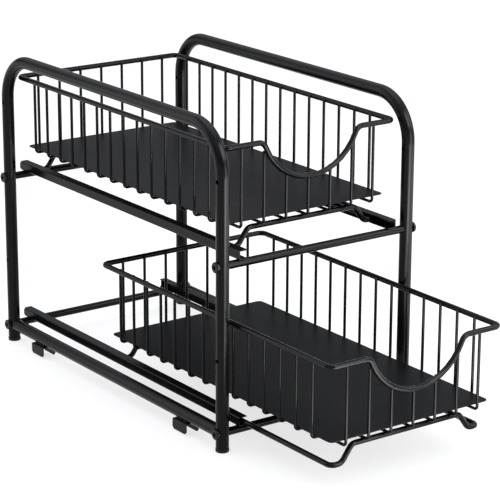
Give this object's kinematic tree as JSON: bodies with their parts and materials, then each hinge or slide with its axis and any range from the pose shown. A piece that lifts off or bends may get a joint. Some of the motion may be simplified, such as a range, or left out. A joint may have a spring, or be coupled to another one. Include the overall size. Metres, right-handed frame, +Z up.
{
  "type": "two-tier pull-out cabinet basket",
  "caption": "Two-tier sliding organiser: wire baskets with dipped fronts and solid floors on C-rails between two bent tube hoops.",
  "frame": {"origin": "middle of the object's footprint box on the floor, with the lower basket drawn out as stored", "axes": "+Z up; +X to the right seen from the front; -Y is the front, towards which the baskets draw out"},
  "size_m": [0.243, 0.5638, 0.3258],
  "materials": {
    "frame_steel": "satin black powder coat on tube and sheet",
    "wire_steel": "satin black powder coat on wire and rod",
    "panel_steel": "matte black powder coat on flat sheet",
    "foot_plastic": "matte black moulded plug",
    "screw_steel": "black coated screw"
  },
  "bodies": {
    "frame": {"left_hoop_tube": "frame_steel", "right_hoop_tube": "frame_steel", "left_base_tube": "frame_steel", "right_base_tube": "frame_steel", "front_left_foot": "foot_plastic", "front_right_foot": "foot_plastic", "back_left_foot": "foot_plastic", "back_right_foot": "foot_plastic", "lower_front_crossbar": "frame_steel", "lower_back_crossbar": "frame_steel", "upper_front_crossbar": "frame_steel", "upper_back_crossbar": "frame_steel", "lower_front_left_screw": "screw_steel", "lower_front_right_screw": "screw_steel", "lower_back_left_screw": "screw_steel", "lower_back_right_screw": "screw_steel", "upper_front_left_screw": "screw_steel", "upper_front_right_screw": "screw_steel", "upper_back_left_screw": "screw_steel", "upper_back_right_screw": "screw_steel", "lower_left_rail": "frame_steel", "lower_right_rail": "frame_steel", "upper_left_rail": "frame_steel", "upper_right_rail": "frame_steel", "front_left_saddle": "frame_steel", "front_right_saddle": "frame_steel", "back_left_saddle": "frame_steel", "back_right_saddle": "frame_steel"},
    "lower_basket": {"lower_rim": "wire_steel", "lower_cross_wires": "wire_steel", "lower_long_wires": "wire_steel", "lower_floor_panel": "panel_steel", "lower_runner": "wire_steel"},
    "upper_basket": {"upper_rim": "wire_steel", "upper_cross_wires": "wire_steel", "upper_long_wires": "wire_steel", "upper_floor_panel": "panel_steel", "upper_runner": "wire_steel"}
  },
  "joints": [
    {"name": "lower_slide", "type": "slide", "parent": "frame", "child": "lower_basket", "axis": [0, -1, 0], "range_m": [-0.187, 0.085]},
    {"name": "upper_slide", "type": "slide", "parent": "frame", "child": "upper_basket", "axis": [0, -1, 0], "range_m": [-0.022, 0.25]}
  ]
}
